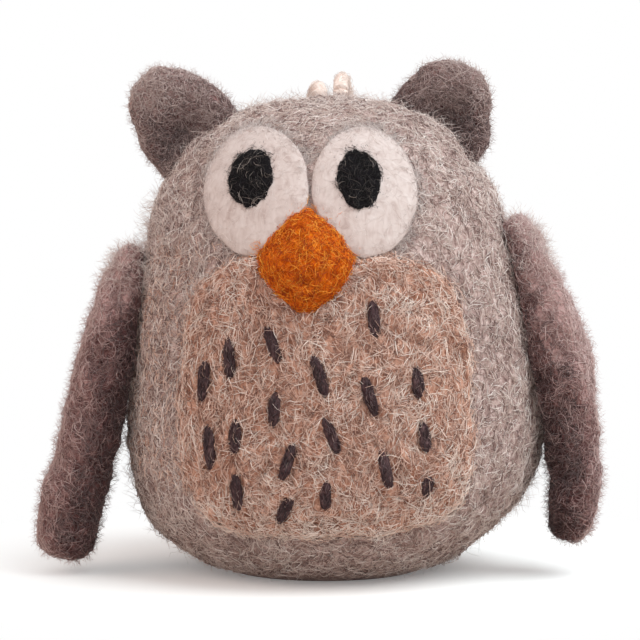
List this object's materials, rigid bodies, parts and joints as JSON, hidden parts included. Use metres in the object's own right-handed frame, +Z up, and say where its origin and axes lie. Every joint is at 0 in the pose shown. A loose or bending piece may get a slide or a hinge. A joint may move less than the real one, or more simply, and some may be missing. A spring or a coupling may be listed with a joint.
{
  "type": "felted wool owl",
  "caption": "Small egg-shaped owl of felted wool with liftable wing flaps, an embroidered belly patch, a flat base to stand on and a yarn loop to hang it by.",
  "frame": {"origin": "middle of the flat base, on the surface the owl stands on", "axes": "+Z up, -Y the way the face looks, +X to the right as the viewer sees it"},
  "size_m": [0.0866, 0.0658, 0.0791],
  "materials": {
    "grey_wool": "needle-felted wool, matt and hairy, mottled warm grey",
    "undyed_wool": "firm undyed core wool",
    "beige_wool": "needle-felted wool, matt and hairy, beige-pink",
    "dark_yarn": "dark plum-grey wool yarn",
    "white_wool": "smooth needle-felted wool, off-white",
    "black_wool": "needle-felted wool, black",
    "orange_wool": "needle-felted wool, orange",
    "taupe_wool": "needle-felted wool, matt and hairy, dark taupe",
    "cream_yarn": "soft spun wool yarn, cream"
  },
  "bodies": {
    "owl_body": {"body_felt": "grey_wool", "wool_core": "undyed_wool", "belly_patch": "beige_wool", "belly_stitch_01": "dark_yarn", "belly_stitch_02": "dark_yarn", "belly_stitch_03": "dark_yarn", "belly_stitch_04": "dark_yarn", "belly_stitch_05": "dark_yarn", "belly_stitch_06": "dark_yarn", "belly_stitch_07": "dark_yarn", "belly_stitch_08": "dark_yarn", "belly_stitch_09": "dark_yarn", "belly_stitch_10": "dark_yarn", "belly_stitch_11": "dark_yarn", "belly_stitch_12": "dark_yarn", "belly_stitch_13": "dark_yarn", "belly_stitch_14": "dark_yarn", "belly_stitch_15": "dark_yarn", "belly_stitch_16": "dark_yarn", "belly_stitch_17": "dark_yarn", "belly_stitch_18": "dark_yarn", "left_eye_disc": "white_wool", "right_eye_disc": "white_wool", "left_pupil": "black_wool", "right_pupil": "black_wool", "beak": "orange_wool", "left_ear": "taupe_wool", "right_ear": "taupe_wool", "loop_knot": "cream_yarn", "left_loop_leg": "cream_yarn", "right_loop_leg": "cream_yarn"},
    "left_wing_flap": {"left_wing": "taupe_wool"},
    "right_wing_flap": {"right_wing": "taupe_wool"},
    "yarn_loop": {"hanging_loop": "cream_yarn"}
  },
  "joints": [
    {"name": "left_wing_lift", "type": "hinge", "parent": "owl_body", "child": "left_wing_flap", "pos_m": [-0.0312, -0.005, 0.0507], "axis": [0, 1, 0], "range_deg": [0, 60], "stiffness_Nm_per_rad": 0.002},
    {"name": "right_wing_lift", "type": "hinge", "parent": "owl_body", "child": "right_wing_flap", "pos_m": [0.0307, -0.007, 0.0555], "axis": [0, -1, 0], "range_deg": [0, 60], "stiffness_Nm_per_rad": 0.002},
    {"name": "loop_swing", "type": "hinge", "parent": "owl_body", "child": "yarn_loop", "pos_m": [0.00095, 0.009, 0.07375], "axis": [1, 0, 0], "range_deg": [0, 100]}
  ]
}
